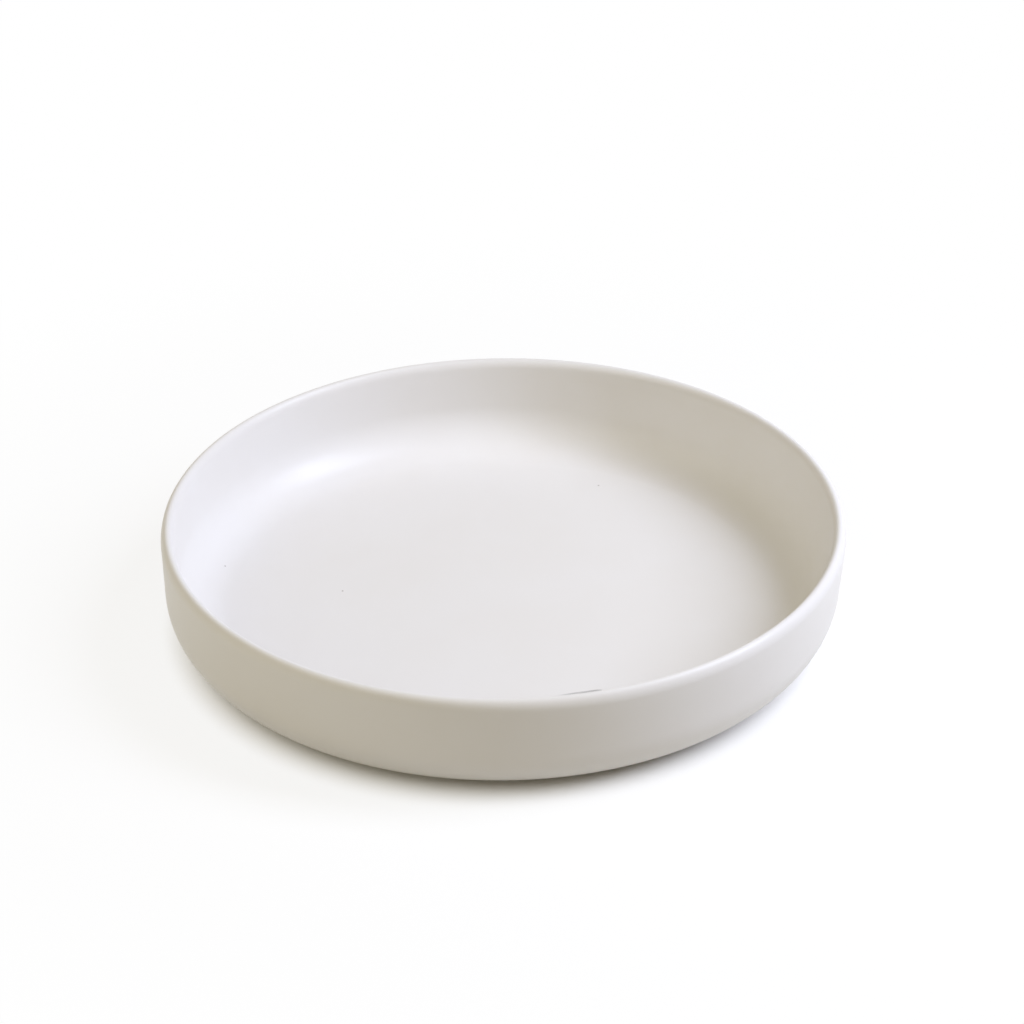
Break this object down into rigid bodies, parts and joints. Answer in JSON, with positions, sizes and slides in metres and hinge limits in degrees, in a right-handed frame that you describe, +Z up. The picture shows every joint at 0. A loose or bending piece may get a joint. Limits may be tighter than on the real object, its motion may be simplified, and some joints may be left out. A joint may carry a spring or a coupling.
{
  "type": "deep plate",
  "caption": "Round deep plate of satin white glazed stoneware: flat floor, swept corner, near-upright wall, round lip and a bare foot ring. Holds and serves food.",
  "frame": {"origin": "on the table, under the middle of the plate, in the plane of the foot ring's standing face", "axes": "+Z up along the plate's axis of revolution; X and Y lie in the table and are interchangeable"},
  "size_m": [0.22, 0.22, 0.038],
  "materials": {
    "fired_clay": "bare fired stoneware, matt and finely gritty",
    "white_glaze": "satin white glaze"
  },
  "bodies": {
    "root": {"clay_body": "fired_clay", "glaze_coat": "white_glaze", "base_glaze": "white_glaze"}
  },
  "joints": []
}
